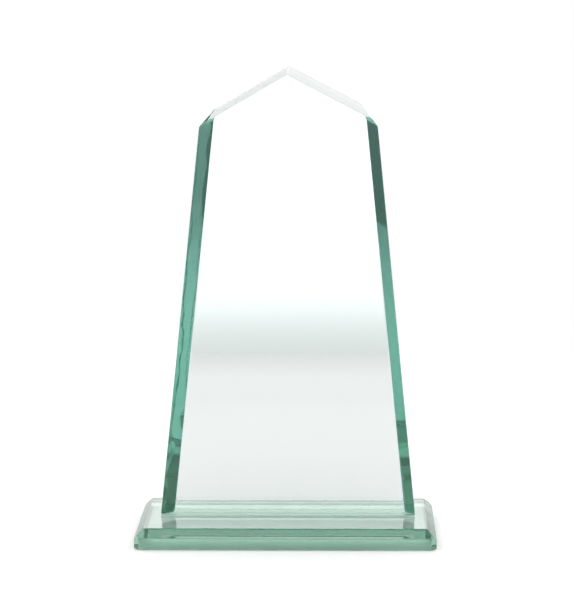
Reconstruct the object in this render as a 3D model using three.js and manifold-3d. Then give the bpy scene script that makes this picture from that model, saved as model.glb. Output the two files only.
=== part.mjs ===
// Crystal award: a tall bevelled glass plate standing on a bevelled glass base,
// held by a thin film of clear cured adhesive.
// Millimetres. +Z is up, the front faces -Y, and the origin is the middle of the base's underside.
import * as THREE from 'three';
import { mergeVertices } from 'three/addons/utils/BufferGeometryUtils.js';
import Module from 'manifold-3d';

const wasm = await Module();
wasm.setup();

// The upright plate. Heights are measured from its foot.
const plateThickness = 10;
const footWidth = 131;
const peakHeight = 230;
const peakOffset = 0.8; // to the right of the foot's middle
const gableBevelDepth = 6.8; // how far the gable's front bevel reaches back into the plate
const cornerFacetRise = 2.7; // how far above the shoulder the side's bevel ends on the back
const cornerFacetSlope = 0.38; // how far inwards the corner's facet runs on the back, for each unit up

// The edges are ground by hand, so each side of the plate has sizes of its own.
const sides = [
  {
    direction: -1,
    shoulderReach: 43.3, // from the foot's middle out to where the leaning side ends
    shoulderHeight: 200.6,
    sideBevel: 6.7, // 45 degree bevel on the back
    gableBevel: 2.7, // width of the gable's bevel on the front face
    cornerCutWidth: 7, // corner cut between the side and the gable
    cornerCutRise: 7.8,
  },
  {
    direction: 1,
    shoulderReach: 45.1,
    shoulderHeight: 201,
    sideBevel: 5.4,
    gableBevel: 3.4,
    cornerCutWidth: 7.6,
    cornerCutRise: 10,
  },
];

// The base plate. Its margins are the ledges left round the upright's foot.
const baseThickness = 10;
const baseMarginEnds = 10.9;
const baseMarginFront = 25;
const baseBevel = 4; // 45 degree bevel along the top of the front and back
const baseEndBevel = 4.7; // the same along the ends
const baseCornerCut = 2.5; // 45 degree cut down each vertical corner
const uprightOffset = 0.7; // the upright is bonded this far to the right of the base's middle

// The adhesive film.
const bondThickness = 0.2;
const bondInset = 0.4; // the film stops this far inside the foot's edges

const baseWidth = footWidth + 2 * baseMarginEnds;
const baseDepth = plateThickness + 2 * baseMarginFront;
const footLevel = baseThickness + bondThickness;
const plateFront = -plateThickness / 2;
const plateBack = plateThickness / 2;

const finish = {
  glass: { color: 0x8fbfae, roughness: 0.05, metalness: 0 },
  adhesive: { color: 0xd9e8e0, roughness: 0.2, metalness: 0 },
};

function toSolid(geometry) {
  const bare = geometry.index ? geometry.toNonIndexed() : geometry.clone();
  bare.deleteAttribute('normal');
  bare.deleteAttribute('uv');
  const merged = mergeVertices(bare);
  return new wasm.Manifold(new wasm.Mesh({
    numProp: 3,
    vertProperties: new Float32Array(merged.attributes.position.array),
    triVerts: new Uint32Array(merged.index.array),
  }));
}

function toGeometry(solid) {
  const { vertProperties, triVerts } = solid.getMesh();
  const geometry = new THREE.BufferGeometry();
  geometry.setAttribute('position', new THREE.BufferAttribute(new Float32Array(vertProperties), 3));
  geometry.setIndex(new THREE.BufferAttribute(new Uint32Array(triVerts), 1));
  return geometry;
}

// Grinds away everything on the outer side of the plane through point, square to normal.
function grind(solid, point, normal) {
  const reach = 2 * (baseWidth + peakHeight);
  const wheel = new THREE.BoxGeometry(reach, reach, reach);
  wheel.translate(0, 0, reach / 2);
  const turn = new THREE.Quaternion().setFromUnitVectors(
    new THREE.Vector3(0, 0, 1),
    normal.clone().normalize(),
  );
  wheel.applyQuaternion(turn);
  wheel.translate(point.x, point.y, point.z);
  return solid.subtract(toSolid(wheel));
}

function named(name, geometry, look) {
  const material = new THREE.MeshStandardMaterial({ ...look, flatShading: true });
  const mesh = new THREE.Mesh(geometry, material);
  mesh.name = name;
  return mesh;
}

// An outline drawn in X and Y, extruded upwards.
function slab(points, thickness) {
  return new THREE.ExtrudeGeometry(new THREE.Shape(points), { depth: thickness, bevelEnabled: false });
}

function basePlate() {
  const halfWidth = baseWidth / 2;
  const halfDepth = baseDepth / 2;
  const cut = baseCornerCut;
  const outline = [
    new THREE.Vector2(-halfWidth + cut, -halfDepth),
    new THREE.Vector2(halfWidth - cut, -halfDepth),
    new THREE.Vector2(halfWidth, -halfDepth + cut),
    new THREE.Vector2(halfWidth, halfDepth - cut),
    new THREE.Vector2(halfWidth - cut, halfDepth),
    new THREE.Vector2(-halfWidth + cut, halfDepth),
    new THREE.Vector2(-halfWidth, halfDepth - cut),
    new THREE.Vector2(-halfWidth, -halfDepth + cut),
  ];
  let solid = toSolid(slab(outline, baseThickness));
  for (const way of [-1, 1]) {
    const endStart = new THREE.Vector3(way * halfWidth, 0, baseThickness - baseEndBevel);
    solid = grind(solid, endStart, new THREE.Vector3(way, 0, 1));
    const sideStart = new THREE.Vector3(0, way * halfDepth, baseThickness - baseBevel);
    solid = grind(solid, sideStart, new THREE.Vector3(0, way, 1));
  }
  return named('base_plate', toGeometry(solid), finish.glass);
}

// One half of the upright's outline, as points in X and Z above the foot.
function profile(side) {
  const shoulder = new THREE.Vector2(side.direction * side.shoulderReach, side.shoulderHeight);
  return {
    foot: new THREE.Vector2(side.direction * footWidth / 2, 0),
    shoulder,
    crown: new THREE.Vector2(
      shoulder.x - side.direction * side.cornerCutWidth,
      shoulder.y + side.cornerCutRise,
    ),
    peak: new THREE.Vector2(peakOffset, peakHeight),
  };
}

// The direction in the plate's plane that is square to the edge from a to b and points outwards.
function outwards(a, b, direction) {
  const along = b.clone().sub(a).normalize();
  return new THREE.Vector3(direction * Math.abs(along.y), 0, Math.abs(along.x));
}

function uprightPlate() {
  const [left, right] = sides.map(profile);
  const outline = [left.foot, right.foot, right.shoulder, right.crown, right.peak, left.crown, left.shoulder];
  const blank = slab(outline, plateThickness);
  blank.rotateX(Math.PI / 2);
  blank.translate(0, plateBack, footLevel);
  let solid = toSolid(blank);

  for (const side of sides) {
    const { foot, shoulder, crown, peak } = profile(side);

    // The side's bevel starts this far in on the back and comes forward at 45 degrees.
    const sideNormal = outwards(foot, shoulder, side.direction);
    const sideStart = new THREE.Vector3(foot.x, plateBack - side.sideBevel, footLevel);
    solid = grind(solid, sideStart, sideNormal.clone().add(new THREE.Vector3(0, 1, 0)));

    // A facet across the corner ends the side's bevel, and narrows towards the crown.
    const leanSlope = (foot.x - shoulder.x) / shoulder.y;
    const bevelEnd = new THREE.Vector3(
      shoulder.x - leanSlope * cornerFacetRise - side.direction * side.sideBevel * Math.hypot(1, leanSlope),
      plateBack,
      footLevel + shoulder.y + cornerFacetRise,
    );
    const facetFoot = new THREE.Vector3(shoulder.x, plateBack - side.sideBevel, footLevel + shoulder.y);
    const facetUp = new THREE.Vector3(-side.direction * cornerFacetSlope, 0, 1);
    const facetNormal = facetUp.cross(facetFoot.clone().sub(bevelEnd));
    facetNormal.multiplyScalar(Math.sign(facetNormal.y));
    solid = grind(solid, facetFoot, facetNormal);

    // The gable's bevel is steep: narrow on the front face, deep in the edge.
    const gableNormal = outwards(crown, peak, side.direction);
    const gableStart = new THREE.Vector3(peak.x, plateFront, footLevel + peak.y);
    gableStart.addScaledVector(gableNormal, -side.gableBevel);
    const slope = gableNormal.clone().multiplyScalar(gableBevelDepth);
    slope.y = -side.gableBevel;
    solid = grind(solid, gableStart, slope);
  }
  const plate = named('upright_plate', toGeometry(solid), finish.glass);
  plate.position.x = uprightOffset;
  return plate;
}

function bondFilm() {
  const front = plateFront + bondInset;
  const back = plateBack - bondInset;
  const corners = [];
  for (const side of sides) {
    // The side bevel's foot, from the full width at the land to the narrower back face.
    const lean = (footWidth / 2 - side.shoulderReach) / side.shoulderHeight;
    const bevelRun = side.sideBevel * Math.hypot(1, lean);
    const outer = footWidth / 2 - bondInset;
    const land = plateBack - side.sideBevel - bondInset;
    const inner = footWidth / 2 - bevelRun - bondInset;
    corners.push([
      new THREE.Vector2(side.direction * outer, front),
      new THREE.Vector2(side.direction * outer, land),
      new THREE.Vector2(side.direction * inner, back),
    ]);
  }
  const [left, right] = corners;
  const film = named('bond_film', slab([...right, ...left.reverse()], bondThickness), finish.adhesive);
  film.position.set(uprightOffset, 0, baseThickness);
  return film;
}

const award = new THREE.Group();
award.add(basePlate(), uprightPlate(), bondFilm());

export default award;
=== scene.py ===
import math
import bmesh
import bpy
from mathutils import Matrix, Vector, noise


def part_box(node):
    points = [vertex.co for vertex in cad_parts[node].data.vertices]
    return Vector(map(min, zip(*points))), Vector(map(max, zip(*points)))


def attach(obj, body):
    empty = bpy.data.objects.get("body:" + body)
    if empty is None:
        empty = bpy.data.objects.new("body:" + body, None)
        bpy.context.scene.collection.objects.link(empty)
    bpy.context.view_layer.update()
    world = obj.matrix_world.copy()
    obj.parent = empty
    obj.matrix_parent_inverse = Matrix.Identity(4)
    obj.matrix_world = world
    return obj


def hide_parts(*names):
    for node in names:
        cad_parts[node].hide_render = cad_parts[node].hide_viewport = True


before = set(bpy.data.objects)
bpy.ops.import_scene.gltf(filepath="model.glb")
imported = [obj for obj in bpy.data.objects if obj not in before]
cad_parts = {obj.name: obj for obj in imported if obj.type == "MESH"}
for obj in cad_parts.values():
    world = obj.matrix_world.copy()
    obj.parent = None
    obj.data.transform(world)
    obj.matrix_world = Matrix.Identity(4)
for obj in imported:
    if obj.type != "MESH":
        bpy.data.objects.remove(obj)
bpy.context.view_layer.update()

scene = bpy.context.scene
mm = 0.001
print("frame loaded:", sorted(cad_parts))

cameraSetup = {
    "lens": 114,  # mm, on a 36 mm sensor
    "fromFront": 937.5 * mm,  # from the upright's front face
    "height": 313.5 * mm,
    "toTheRight": 29.5 * mm,
    "tiltDown": math.radians(11.45),
    "roll": math.radians(0.14),
    "shift": -0.0957,
}


def addCamera(setup):
    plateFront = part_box("upright_plate")[0].y
    data = bpy.data.cameras.new("camera")
    data.lens = setup["lens"]
    data.sensor_width = 36
    data.shift_x = setup["shift"]
    data.clip_start = 0.01
    camera = bpy.data.objects.new("camera", data)
    camera.location = (setup["toTheRight"], plateFront - setup["fromFront"], setup["height"])
    look = Matrix.Rotation(math.radians(90) - setup["tiltDown"], 3, "X")
    camera.rotation_euler = (look @ Matrix.Rotation(setup["roll"], 3, "Z")).to_euler()
    scene.collection.objects.link(camera)
    scene.camera = camera


addCamera(cameraSetup)
print("camera placed")


def addNode(tree, kind, values=None, **settings):
    node = tree.nodes.new(kind)
    for name, value in settings.items():
        setattr(node, name, value)
    for socket, value in (values or {}).items():
        node.inputs[socket].default_value = value
    return node


def join(tree, source, target):
    tree.links.new(source, target)


def addSockets(group, sockets):
    for name, inOut, kind, value in sockets:
        socket = group.interface.new_socket(name, in_out=inOut, socket_type="NodeSocket" + kind)
        if value is not None:
            socket.default_value = value


def makePolishGroup():
    # cloudy patches and straight wipe streaks left on a polished face
    group = bpy.data.node_groups.new("polishMarks", "ShaderNodeTree")
    addSockets(group, [
        ("Coordinates", "INPUT", "Vector", None),
        ("Patch Size", "INPUT", "Float", 60.0),
        ("Streak Size", "INPUT", "Float", 900.0),
        ("Clean Roughness", "INPUT", "Float", 0.0),
        ("Marked Roughness", "INPUT", "Float", 0.02),
        ("Roughness", "OUTPUT", "Float", None),
        ("Mask", "OUTPUT", "Float", None),
    ])
    start = group.nodes.new("NodeGroupInput")
    end = group.nodes.new("NodeGroupOutput")
    patches = addNode(group, "ShaderNodeTexNoise", {"Detail": 4.0, "Roughness": 0.6})
    join(group, start.outputs["Coordinates"], patches.inputs["Vector"])
    join(group, start.outputs["Patch Size"], patches.inputs["Scale"])
    spread = addNode(group, "ShaderNodeMapRange", {"From Min": 0.5, "From Max": 0.75})
    join(group, patches.outputs["Fac"], spread.inputs["Value"])
    slanted = addNode(group, "ShaderNodeMapping", {"Rotation": (0, 0.5, 0), "Scale": (1, 1, 0.05)})
    join(group, start.outputs["Coordinates"], slanted.inputs["Vector"])
    streaks = addNode(group, "ShaderNodeTexNoise", {"Detail": 2.0, "Roughness": 0.5})
    join(group, slanted.outputs["Vector"], streaks.inputs["Vector"])
    join(group, start.outputs["Streak Size"], streaks.inputs["Scale"])
    fine = addNode(group, "ShaderNodeMapRange", {"From Min": 0.6, "From Max": 0.75})
    join(group, streaks.outputs["Fac"], fine.inputs["Value"])
    wiped = addNode(group, "ShaderNodeMath", operation="MULTIPLY")
    join(group, spread.outputs["Result"], wiped.inputs[0])
    join(group, fine.outputs["Result"], wiped.inputs[1])
    both = addNode(group, "ShaderNodeMath", {1: 0.35}, operation="MULTIPLY_ADD", use_clamp=True)
    join(group, spread.outputs["Result"], both.inputs[0])
    join(group, wiped.outputs[0], both.inputs[2])
    rough = addNode(group, "ShaderNodeMapRange")
    join(group, both.outputs[0], rough.inputs["Value"])
    join(group, start.outputs["Clean Roughness"], rough.inputs["To Min"])
    join(group, start.outputs["Marked Roughness"], rough.inputs["To Max"])
    join(group, rough.outputs["Result"], end.inputs["Roughness"])
    join(group, both.outputs[0], end.inputs["Mask"])
    return group


def makeDustGroup():
    # a few pale specks of dust
    group = bpy.data.node_groups.new("dustSpecks", "ShaderNodeTree")
    addSockets(group, [
        ("Coordinates", "INPUT", "Vector", None),
        ("Spacing", "INPUT", "Float", 300.0),
        ("Speck Size", "INPUT", "Float", 0.05),
        ("Mask", "OUTPUT", "Float", None),
    ])
    start = group.nodes.new("NodeGroupInput")
    end = group.nodes.new("NodeGroupOutput")
    cells = addNode(group, "ShaderNodeTexVoronoi", {"Randomness": 1.0})
    join(group, start.outputs["Coordinates"], cells.inputs["Vector"])
    join(group, start.outputs["Spacing"], cells.inputs["Scale"])
    near = addNode(group, "ShaderNodeMath", operation="LESS_THAN")
    join(group, cells.outputs["Distance"], near.inputs[0])
    join(group, start.outputs["Speck Size"], near.inputs[1])
    split = group.nodes.new("ShaderNodeSeparateColor")
    join(group, cells.outputs["Color"], split.inputs["Color"])
    rare = addNode(group, "ShaderNodeMath", {1: 0.93}, operation="GREATER_THAN")
    join(group, split.outputs["Red"], rare.inputs[0])
    both = addNode(group, "ShaderNodeMath", operation="MULTIPLY")
    join(group, near.outputs[0], both.inputs[0])
    join(group, rare.outputs[0], both.inputs[1])
    join(group, both.outputs[0], end.inputs["Mask"])
    return group


def makeGrindGroup():
    # the slow waves that a hand-held plate gets on the wheel, as a height in 0 to 1
    group = bpy.data.node_groups.new("grindWaves", "ShaderNodeTree")
    addSockets(group, [
        ("Coordinates", "INPUT", "Vector", None),
        ("Waves", "INPUT", "Float", 90.0),
        ("Ripples", "INPUT", "Float", 0.15),
        ("Ground", "INPUT", "Float", 1.0),
        ("Height", "OUTPUT", "Float", None),
    ])
    start = group.nodes.new("NodeGroupInput")
    end = group.nodes.new("NodeGroupOutput")
    slow = addNode(group, "ShaderNodeTexNoise", {"Detail": 1.0, "Roughness": 0.4})
    join(group, start.outputs["Coordinates"], slow.inputs["Vector"])
    join(group, start.outputs["Waves"], slow.inputs["Scale"])
    quicker = addNode(group, "ShaderNodeMath", {1: 6.0}, operation="MULTIPLY")
    join(group, start.outputs["Waves"], quicker.inputs[0])
    small = addNode(group, "ShaderNodeTexNoise", {"Detail": 2.0, "Roughness": 0.5})
    join(group, start.outputs["Coordinates"], small.inputs["Vector"])
    join(group, quicker.outputs[0], small.inputs["Scale"])
    summed = addNode(group, "ShaderNodeMath", operation="MULTIPLY_ADD")
    join(group, small.outputs["Fac"], summed.inputs[0])
    join(group, start.outputs["Ripples"], summed.inputs[1])
    join(group, slow.outputs["Fac"], summed.inputs[2])
    masked = addNode(group, "ShaderNodeMath", operation="MULTIPLY")
    join(group, summed.outputs[0], masked.inputs[0])
    join(group, start.outputs["Ground"], masked.inputs[1])
    join(group, masked.outputs[0], end.inputs["Height"])
    return group


polishGroup = makePolishGroup()
dustGroup = makeDustGroup()
grindGroup = makeGrindGroup()

jadeGlass = {
    "tint": (0.33, 0.7325, 0.635, 1),  # the colour the glass lets through
    "tintDensity": 20.0,  # per metre
    "ior": 1.52,
    "arrisRoughness": 0.16,
    "mattRoughness": 0.38,
    "edgeHaze": 0.03,
    "waveHeight": 0.09 * mm,
    "dust": (0.8, 0.8, 0.78, 1),
    "paintedShade": (0.28, 0.42, 0.35, 1),  # painted shade: a darker tint on the unpolished arrises
}


def makeJadeGlass(name, glass):
    material = bpy.data.materials.new(name)
    material.use_nodes = True
    tree = material.node_tree
    shader = tree.nodes["Principled BSDF"]
    output = tree.nodes["Material Output"]
    shader.inputs["Transmission Weight"].default_value = 1.0
    shader.inputs["Metallic"].default_value = 0.0
    place = tree.nodes.new("ShaderNodeTexCoord")

    polish = addNode(tree, "ShaderNodeGroup", node_tree=polishGroup)
    polish.inputs["Patch Size"].default_value = 45.0
    polish.inputs["Streak Size"].default_value = 700.0
    polish.inputs["Clean Roughness"].default_value = 0.0
    polish.inputs["Marked Roughness"].default_value = 0.02
    join(tree, place.outputs["Object"], polish.inputs["Coordinates"])

    ground = addNode(tree, "ShaderNodeAttribute", attribute_name="ground")
    hazed = addNode(tree, "ShaderNodeMath", {1: glass["edgeHaze"]}, operation="MULTIPLY_ADD")
    join(tree, ground.outputs["Fac"], hazed.inputs[0])
    join(tree, polish.outputs["Roughness"], hazed.inputs[2])
    arris = addNode(tree, "ShaderNodeAttribute", attribute_name="arris")
    rough = tree.nodes.new("ShaderNodeMix")
    rough.inputs["B"].default_value = glass["arrisRoughness"]
    join(tree, arris.outputs["Fac"], rough.inputs["Factor"])
    join(tree, hazed.outputs[0], rough.inputs["A"])
    matt = addNode(tree, "ShaderNodeAttribute", attribute_name="matt")
    unpolished = tree.nodes.new("ShaderNodeMix")
    unpolished.inputs["B"].default_value = glass["mattRoughness"]
    join(tree, matt.outputs["Fac"], unpolished.inputs["Factor"])
    join(tree, rough.outputs["Result"], unpolished.inputs["A"])
    join(tree, unpolished.outputs["Result"], shader.inputs["Roughness"])

    waves = addNode(tree, "ShaderNodeGroup", node_tree=grindGroup)
    waves.inputs["Waves"].default_value = 70.0
    waves.inputs["Ripples"].default_value = 0.05
    join(tree, place.outputs["Object"], waves.inputs["Coordinates"])
    join(tree, ground.outputs["Fac"], waves.inputs["Ground"])
    bump = addNode(tree, "ShaderNodeBump", {"Strength": 1.0, "Distance": glass["waveHeight"]})
    join(tree, waves.outputs["Height"], bump.inputs["Height"])
    join(tree, bump.outputs["Normal"], shader.inputs["Normal"])

    dust = addNode(tree, "ShaderNodeGroup", node_tree=dustGroup)
    dust.inputs["Spacing"].default_value = 220.0
    dust.inputs["Speck Size"].default_value = 0.05
    join(tree, place.outputs["Object"], dust.inputs["Coordinates"])
    colour = addNode(tree, "ShaderNodeMix", data_type="RGBA")
    colour.inputs[6].default_value = (1, 1, 1, 1)
    colour.inputs[7].default_value = glass["dust"]
    join(tree, dust.outputs["Mask"], colour.inputs["Factor"])
    # painted shade: the unpolished arrises get a darker base colour
    foot = addNode(tree, "ShaderNodeAttribute", attribute_name="paintedShade")
    shadeTinted = addNode(tree, "ShaderNodeMix", data_type="RGBA")
    shadeTinted.inputs[7].default_value = glass["paintedShade"]
    join(tree, foot.outputs["Fac"], shadeTinted.inputs["Factor"])
    join(tree, colour.outputs[2], shadeTinted.inputs[6])
    join(tree, shadeTinted.outputs[2], shader.inputs["Base Color"])

    # where the adhesive wets the glass, light goes straight on
    bonded = addNode(tree, "ShaderNodeAttribute", attribute_name="bonded")
    index = addNode(tree, "ShaderNodeMapRange", {"To Min": glass["ior"], "To Max": 1.0})
    join(tree, bonded.outputs["Fac"], index.inputs["Value"])
    join(tree, index.outputs["Result"], shader.inputs["IOR"])

    body = addNode(tree, "ShaderNodeVolumeAbsorption", {
        "Color": glass["tint"], "Density": glass["tintDensity"],
    })
    join(tree, body.outputs["Volume"], output.inputs["Volume"])
    return material


# the base's glass is a deeper green, and the painted shade on its unpolished arrises is darker
baseJadeGlass = dict(
    jadeGlass, tint=(0.256, 0.65, 0.484, 1), tintDensity=25.0, paintedShade=(0.1, 0.28, 0.2, 1),
)

uprightMaterial = makeJadeGlass("jadeGlass", jadeGlass)
baseMaterial = makeJadeGlass("baseJadeGlass", baseJadeGlass)
print("glass mixed")


def workingCopy(nodeName):
    # the plate as sawn, with its triangles joined into whole faces
    bm = bmesh.new()
    bm.from_mesh(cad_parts[nodeName].data)
    bmesh.ops.remove_doubles(bm, verts=bm.verts[:], dist=0.001 * mm)
    bmesh.ops.dissolve_limit(bm, angle_limit=math.radians(0.5), verts=bm.verts[:], edges=bm.edges[:])
    return bm


def markGround(bm, isFloat):
    # every face that isn't the factory surface has been ground and polished by hand
    ground = bm.faces.layers.float.new("ground")
    for face in bm.faces:
        face[ground] = 0.0 if isFloat(face.normal) else 1.0


longEdge = 50 * mm  # only the edges along the plates are longer
levelWithin = 0.01 * mm


def grindUnpolished(bm, level, width):
    # wider arrises, never polished, along the front and back edges at this height, marked to carry a
    # painted shade
    matt = bm.faces.layers.float.get("matt") or bm.faces.layers.float.new("matt")
    paintedShade = bm.faces.layers.float.new("paintedShade")
    ridges = [
        e for e in bm.edges
        if e.calc_length() > longEdge
        and all(abs(v.co.z - level) < levelWithin for v in e.verts)
        and abs(e.verts[0].co.y - e.verts[1].co.y) < levelWithin
    ]
    made = bmesh.ops.bevel(
        bm, geom=ridges, offset=width, offset_type="OFFSET", segments=1,
        profile=0.5, affect="EDGES", material=-1, clamp_overlap=True,
    )
    ground = bm.faces.layers.float["ground"]
    for face in made["faces"]:
        face[ground] = 0.0
        face[matt] = 1.0
        face[paintedShade] = 1.0


def grindArrises(bm, width):
    # takes the sharpness off every other edge, and marks the thin faces that this leaves
    arris = bm.faces.layers.float.new("arris")
    paintedShade = bm.faces.layers.float["paintedShade"]
    # the arrises that carry the painted shade are left as they are
    sharp = [e for e in bm.edges if all(f[paintedShade] < 0.5 for f in e.link_faces)]
    made = bmesh.ops.bevel(
        bm, geom=sharp, offset=width, offset_type="OFFSET", segments=1,
        profile=0.5, affect="EDGES", material=-1, clamp_overlap=True,
    )
    for face in made["faces"]:
        face[arris] = 1.0
    return arris


wanderScale = 900  # how finely an edge wanders, per metre
chipScale = 3000  # how finely a chip is broken, per metre


def roughenArrises(bm, arris, sizes):
    # a hand-held edge wanders a little along its length, and has a few chips
    step = sizes["step"]
    longEdges = [
        e for e in bm.edges
        if e.calc_length() > 2 * step and sum(f[arris] > 0.5 for f in e.link_faces) == 1
    ]
    byLength = {}
    for e in longEdges:
        byLength.setdefault(round(e.calc_length() / step), []).append(e)
    for cuts, edges in byLength.items():
        bmesh.ops.subdivide_edges(bm, edges=edges, cuts=max(cuts, 2), use_grid_fill=True)
    chips = [(Vector(place) * mm, reach * mm, depth * mm) for place, reach, depth in sizes["chips"]]
    moves = {}
    for v in bm.verts:
        flats = [f for f in v.link_faces if f[arris] < 0.5]
        if len(flats) != 1 or len(v.link_edges) != 3:
            continue
        inward = (flats[0].calc_center_median() - v.co).normalized()
        along = [e for e in v.link_edges if flats[0] in e.link_faces]
        edgeWay = (along[0].other_vert(v).co - along[1].other_vert(v).co).normalized()
        sideways = (inward - inward.dot(edgeWay) * edgeWay).normalized()
        move = sizes["wander"] * noise.noise(v.co * wanderScale)
        for place, reach, depth in chips:
            near = 1 - (v.co - place).length / reach
            if near > 0:
                move += depth * near * (0.7 + 0.6 * noise.noise(v.co * chipScale))
        moves[v] = sideways * move
    for v, move in moves.items():
        v.co += move


def toObject(bm, name):
    mesh = bpy.data.meshes.new(name)
    bm.to_mesh(mesh)
    bm.free()
    piece = bpy.data.objects.new(name, mesh)
    scene.collection.objects.link(piece)
    return piece


uprightSizes = {
    "arris": 0.3 * mm,
    "footArris": 1.0 * mm,
    "wander": 0.1 * mm,
    "step": 1.5 * mm,
    "chips": [  # where, how far it reaches and how deep it is, in mm
        ((-65.0, -5.0, 10.2), 4.0, 0.5),
        ((66.0, -5.0, 10.2), 3.0, 0.4),
        ((-46.0, 0.0, 196.0), 3.0, 0.3),
    ],
}


def makeUpright(sizes):
    bm = workingCopy("upright_plate")
    markGround(bm, lambda normal: abs(normal.y) > 0.99)
    grindUnpolished(bm, min(v.co.z for v in bm.verts), sizes["footArris"])
    arris = grindArrises(bm, sizes["arris"])
    roughenArrises(bm, arris, sizes)
    bonded = bm.faces.layers.float.new("bonded")
    foot = min(bm.faces, key=lambda f: (round(f.calc_center_median().z, 6), -f.calc_area()))
    foot[bonded] = 1.0
    piece = toObject(bm, "uprightGlass")
    piece.data.materials.append(uprightMaterial)
    return piece


upright = makeUpright(uprightSizes)
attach(upright, "root")
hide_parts("upright_plate")
print("upright ground and polished")

baseSizes = {
    "arris": 0.3 * mm,
    "topArris": 0.5 * mm,
    "wander": 0.08 * mm,
    "step": 1.5 * mm,
    "chips": [
        ((69.0, 30.0, 0.0), 4.0, 0.8),
        ((62.0, -30.0, 6.0), 3.0, 0.4),
        ((-74.0, -28.0, 5.0), 2.5, 0.4),
        ((-20.0, 30.0, 0.0), 3.0, 0.4),
    ],
}


def makeBase(sizes):
    bm = workingCopy("base_plate")
    markGround(bm, lambda normal: abs(normal.z) > 0.99)
    # the vertical faces along the front and back are satin
    matt = bm.faces.layers.float.new("matt")
    for face in bm.faces:
        face[matt] = 1.0 if abs(face.normal.y) > 0.9 else 0.0
    grindUnpolished(bm, max(v.co.z for v in bm.verts), sizes["topArris"])
    arris = grindArrises(bm, sizes["arris"])
    roughenArrises(bm, arris, sizes)
    bonded = bm.faces.layers.float.new("bonded")
    # the wetted patch on the top is cut to the film's outline
    low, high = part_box("bond_film")
    top = max(bm.faces, key=lambda f: (round(f.calc_center_median().z, 6), f.calc_area()))
    level = top.calc_center_median().z
    for point, way in ((low, (0, -1, 0)), (high, (0, 1, 0)), (low, (-1, 0, 0)), (high, (1, 0, 0))):
        geom = set()
        for f in bm.faces:
            if f.normal.z > 0.9 and abs(f.calc_center_median().z - level) < 0.001 * mm:
                geom.update([f, *f.edges, *f.verts])
        bmesh.ops.bisect_plane(bm, geom=list(geom), plane_co=point, plane_no=way, dist=1e-7)
    for f in bm.faces:
        middle = f.calc_center_median()
        if f.normal.z > 0.9 and low.x < middle.x < high.x and low.y < middle.y < high.y:
            f[bonded] = 1.0
    piece = toObject(bm, "baseGlass")
    piece.data.materials.append(baseMaterial)
    return piece


base = makeBase(baseSizes)
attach(base, "root")
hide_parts("base_plate")
print("base ground and polished")

filmSizes = {
    "thinning": 0.7,  # of the gap, so it lies clear of both plates
    "wander": 0.35 * mm,  # how unevenly the adhesive has spread
    "wanderScale": 250,
    "endsFrom": 50 * mm,  # points farther than this from the middle are on the ends
    "step": 2.0 * mm,
    "ior": 1.48,
    "haze": 0.05,
}


def makeAdhesive(sizes):
    material = bpy.data.materials.new("curedAdhesive")
    material.use_nodes = True
    tree = material.node_tree
    shader = tree.nodes["Principled BSDF"]
    shader.inputs["Transmission Weight"].default_value = 1.0
    shader.inputs["Metallic"].default_value = 0.0
    place = tree.nodes.new("ShaderNodeTexCoord")
    polish = addNode(tree, "ShaderNodeGroup", node_tree=polishGroup)
    polish.inputs["Patch Size"].default_value = 300.0
    polish.inputs["Streak Size"].default_value = 1500.0
    polish.inputs["Clean Roughness"].default_value = 0.0
    polish.inputs["Marked Roughness"].default_value = sizes["haze"]
    join(tree, place.outputs["Object"], polish.inputs["Coordinates"])
    join(tree, polish.outputs["Roughness"], shader.inputs["Roughness"])
    colour = addNode(tree, "ShaderNodeMix", data_type="RGBA")
    colour.inputs[6].default_value = (1, 1, 1, 1)
    colour.inputs[7].default_value = (0.9, 0.92, 0.86, 1)
    join(tree, polish.outputs["Mask"], colour.inputs["Factor"])
    join(tree, colour.outputs[2], shader.inputs["Base Color"])
    bonded = addNode(tree, "ShaderNodeAttribute", attribute_name="bonded")
    index = addNode(tree, "ShaderNodeMapRange", {"To Min": sizes["ior"], "To Max": 1.0})
    join(tree, bonded.outputs["Fac"], index.inputs["Value"])
    join(tree, index.outputs["Result"], shader.inputs["IOR"])
    return material


def makeFilm(sizes):
    bm = workingCopy("bond_film")
    low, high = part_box("bond_film")
    middle = (low + high) / 2
    byLength = {}
    for e in bm.edges:
        cuts = round(e.calc_length() / sizes["step"])
        if cuts > 1:
            byLength.setdefault(cuts, []).append(e)
    for cuts, edges in byLength.items():
        bmesh.ops.subdivide_edges(bm, edges=edges, cuts=cuts, use_grid_fill=True)
    for v in bm.verts:
        flat = Vector((v.co.x, v.co.y, 0))
        retreat = sizes["wander"] * (0.5 + 0.5 * noise.noise(flat * sizes["wanderScale"]))
        if abs(v.co.x - middle.x) > sizes["endsFrom"]:
            v.co.x -= math.copysign(retreat, v.co.x - middle.x)
        v.co.y -= math.copysign(retreat, v.co.y - middle.y)
        v.co.z = middle.z + (v.co.z - middle.z) * sizes["thinning"]
    bonded = bm.faces.layers.float.new("bonded")
    for f in bm.faces:
        if abs(f.normal.z) > 0.9:
            f[bonded] = 1.0
    piece = toObject(bm, "bondFilm")
    piece.data.materials.append(makeAdhesive(sizes))
    return piece


film = makeFilm(filmSizes)
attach(film, "root")
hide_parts("bond_film")
print("adhesive film laid")

floorSetup = {
    "front": -0.265,
    "back": 0.415,
    "halfWidth": 0.6,
    "drop": 0.0004,
    "middle": (0, -0.2, 0),  # moves the middle of the painted pool of light back
    # a painted pool of light: the floor's colour darkens into painted shade between these distances
    # from the middle
    "fadeFrom": 0.28,
    "fadeTo": 0.52,
    "shadeFrom": 0.34,  # the far edge rolls off into shade
    "shade": (0.83, 0.83, 0.83, 1),
    "tone": (0.91, 0.87, 0.88, 1),
    "paintedEdgeShade": (0.38, 0.365, 0.37, 1),
    # painted light: seen straight on, the floor is painted white
    "viewTone": (1.0, 1.0, 1.0, 1),
    "viewGlow": 0.06,  # painted light: a glow for camera rays that keeps its contact shadow light
}


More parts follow.
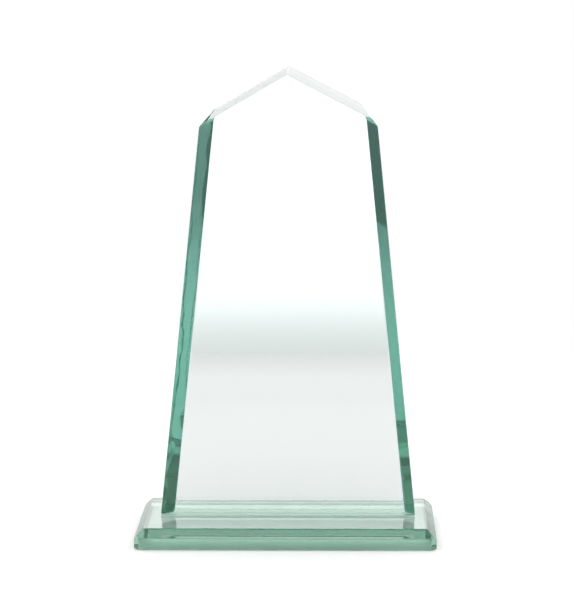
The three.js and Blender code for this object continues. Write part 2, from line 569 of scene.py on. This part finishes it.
def addFloor(setup):
    bm = bmesh.new()
    corners = [
        (-setup["halfWidth"], setup["front"]), (setup["halfWidth"], setup["front"]),
        (setup["halfWidth"], setup["back"]), (-setup["halfWidth"], setup["back"]),
    ]
    bm.faces.new([bm.verts.new((x, y, -setup["drop"])) for x, y in corners])
    floor = toObject(bm, "floor")
    material = bpy.data.materials.new("paleFloor")
    material.use_nodes = True
    tree = material.node_tree
    shader = tree.nodes["Principled BSDF"]
    shader.inputs["Roughness"].default_value = 0.8
    place = tree.nodes.new("ShaderNodeTexCoord")
    # painted pool of light: the colour darkens away from the middle as painted shade
    centred = addNode(tree, "ShaderNodeMapping", {"Location": setup["middle"]})
    join(tree, place.outputs["Object"], centred.inputs["Vector"])
    away = addNode(tree, "ShaderNodeVectorMath", operation="LENGTH")
    join(tree, centred.outputs["Vector"], away.inputs[0])
    paintedLightPool = addNode(tree, "ShaderNodeMapRange", {
        "From Min": setup["fadeFrom"], "From Max": setup["fadeTo"],
    }, interpolation_type="SMOOTHSTEP")
    join(tree, away.outputs["Value"], paintedLightPool.inputs["Value"])
    tone = addNode(tree, "ShaderNodeMix", data_type="RGBA")
    tone.inputs[6].default_value = setup["tone"]
    tone.inputs[7].default_value = setup["paintedEdgeShade"]
    join(tree, paintedLightPool.outputs["Result"], tone.inputs["Factor"])
    axes = tree.nodes.new("ShaderNodeSeparateXYZ")
    join(tree, place.outputs["Object"], axes.inputs["Vector"])
    rolled = addNode(tree, "ShaderNodeMapRange", {
        "From Min": setup["shadeFrom"], "From Max": setup["back"],
    })
    join(tree, axes.outputs["Y"], rolled.inputs["Value"])
    shaded = addNode(tree, "ShaderNodeMix", data_type="RGBA", blend_type="MULTIPLY")
    shaded.inputs[7].default_value = setup["shade"]
    join(tree, rolled.outputs["Result"], shaded.inputs["Factor"])
    join(tree, tone.outputs[2], shaded.inputs[6])
    # painted light: for camera rays the floor is painted white and glows a little, which lightens
    # its contact shadow
    path = tree.nodes.new("ShaderNodeLightPath")
    seen = addNode(tree, "ShaderNodeMix", data_type="RGBA")
    seen.inputs[7].default_value = setup["viewTone"]
    join(tree, path.outputs["Is Camera Ray"], seen.inputs["Factor"])
    join(tree, shaded.outputs[2], seen.inputs[6])
    join(tree, seen.outputs[2], shader.inputs["Base Color"])
    glow = addNode(tree, "ShaderNodeMath", {1: setup["viewGlow"]}, operation="MULTIPLY")
    join(tree, path.outputs["Is Camera Ray"], glow.inputs[0])
    join(tree, glow.outputs[0], shader.inputs["Emission Strength"])
    floor.data.materials.append(material)


# how bright the studio is at each height, from straight down at -1 to straight up at 1
skySetup = {
    "near": [
        (-1.0, 0.22), (-0.3, 0.22), (-0.05, 0.42), (0.1, 0.6), (0.6, 0.6),
        (0.7, 2.6), (0.86, 2.6), (0.92, 0.2), (1.0, 0.2),
    ],
    "side": [
        (-1.0, 0.5), (-0.25, 0.6), (0.0, 0.4), (0.6, 0.3),
        (0.7, 2.6), (0.86, 2.6), (0.92, 0.2), (1.0, 0.2),
    ],
    "far": [
        (-1.0, 0.6), (-0.2262, 0.84), (-0.215, 0.93), (-0.1934, 1.28), (0.2, 1.4),
        (0.28, 1.8), (0.34, 1.8), (0.45, 0.6), (0.66, 0.25), (0.72, 0.7), (0.77, 0.7),
        (0.8, 2.6), (0.86, 2.6), (0.92, 0.2), (1.0, 0.2),
    ],
}

# the stretches of Y in which the near sky turns to the side sky, and that to the far one
skyBlends = {"side": (-0.6, -0.25), "far": (0.1, 0.45)}


def addSky(setup):
    world = bpy.data.worlds.new("studio")
    scene.world = world
    world.use_nodes = True
    tree = world.node_tree
    light = tree.nodes["Background"]
    output = tree.nodes["World Output"]
    place = tree.nodes.new("ShaderNodeTexCoord")
    axes = tree.nodes.new("ShaderNodeSeparateXYZ")
    join(tree, place.outputs["Generated"], axes.inputs["Vector"])
    height = addNode(tree, "ShaderNodeMapRange", {"From Min": -1.0, "From Max": 1.0})
    join(tree, axes.outputs["Z"], height.inputs["Value"])
    ramps = {}
    for side, stops in setup.items():
        ramp = tree.nodes.new("ShaderNodeValToRGB")
        join(tree, height.outputs["Result"], ramp.inputs["Fac"])
        elements = ramp.color_ramp.elements
        while len(elements) < len(stops):
            elements.new(0.5)
        for element, (z, value) in zip(elements, stops):
            element.position = (z + 1) / 2
            element.color = (value, value, value, 1)
        ramps[side] = ramp
    colour = ramps["near"].outputs["Color"]
    for side, (start, end) in skyBlends.items():
        facing = addNode(tree, "ShaderNodeMapRange", {"From Min": start, "From Max": end})
        join(tree, axes.outputs["Y"], facing.inputs["Value"])
        blend = addNode(tree, "ShaderNodeMix", data_type="RGBA")
        join(tree, facing.outputs["Result"], blend.inputs["Factor"])
        join(tree, colour, blend.inputs[6])
        join(tree, ramps[side].outputs["Color"], blend.inputs[7])
        colour = blend.outputs[2]
    join(tree, colour, light.inputs["Color"])
    white = addNode(tree, "ShaderNodeBackground", {"Color": (1, 1, 1, 1)})
    path = tree.nodes.new("ShaderNodeLightPath")
    pick = tree.nodes.new("ShaderNodeMixShader")
    join(tree, path.outputs["Is Camera Ray"], pick.inputs["Fac"])
    join(tree, light.outputs["Background"], pick.inputs[1])
    join(tree, white.outputs["Background"], pick.inputs[2])
    join(tree, pick.outputs["Shader"], output.inputs["Surface"])


addFloor(floorSetup)
addSky(skySetup)
scene.view_settings.view_transform = "Standard"
for name in ("max_bounces", "glossy_bounces", "transmission_bounces", "transparent_max_bounces"):
    setattr(scene.cycles, name, 32)
scene.cycles.use_denoising = True
print("stage lit")
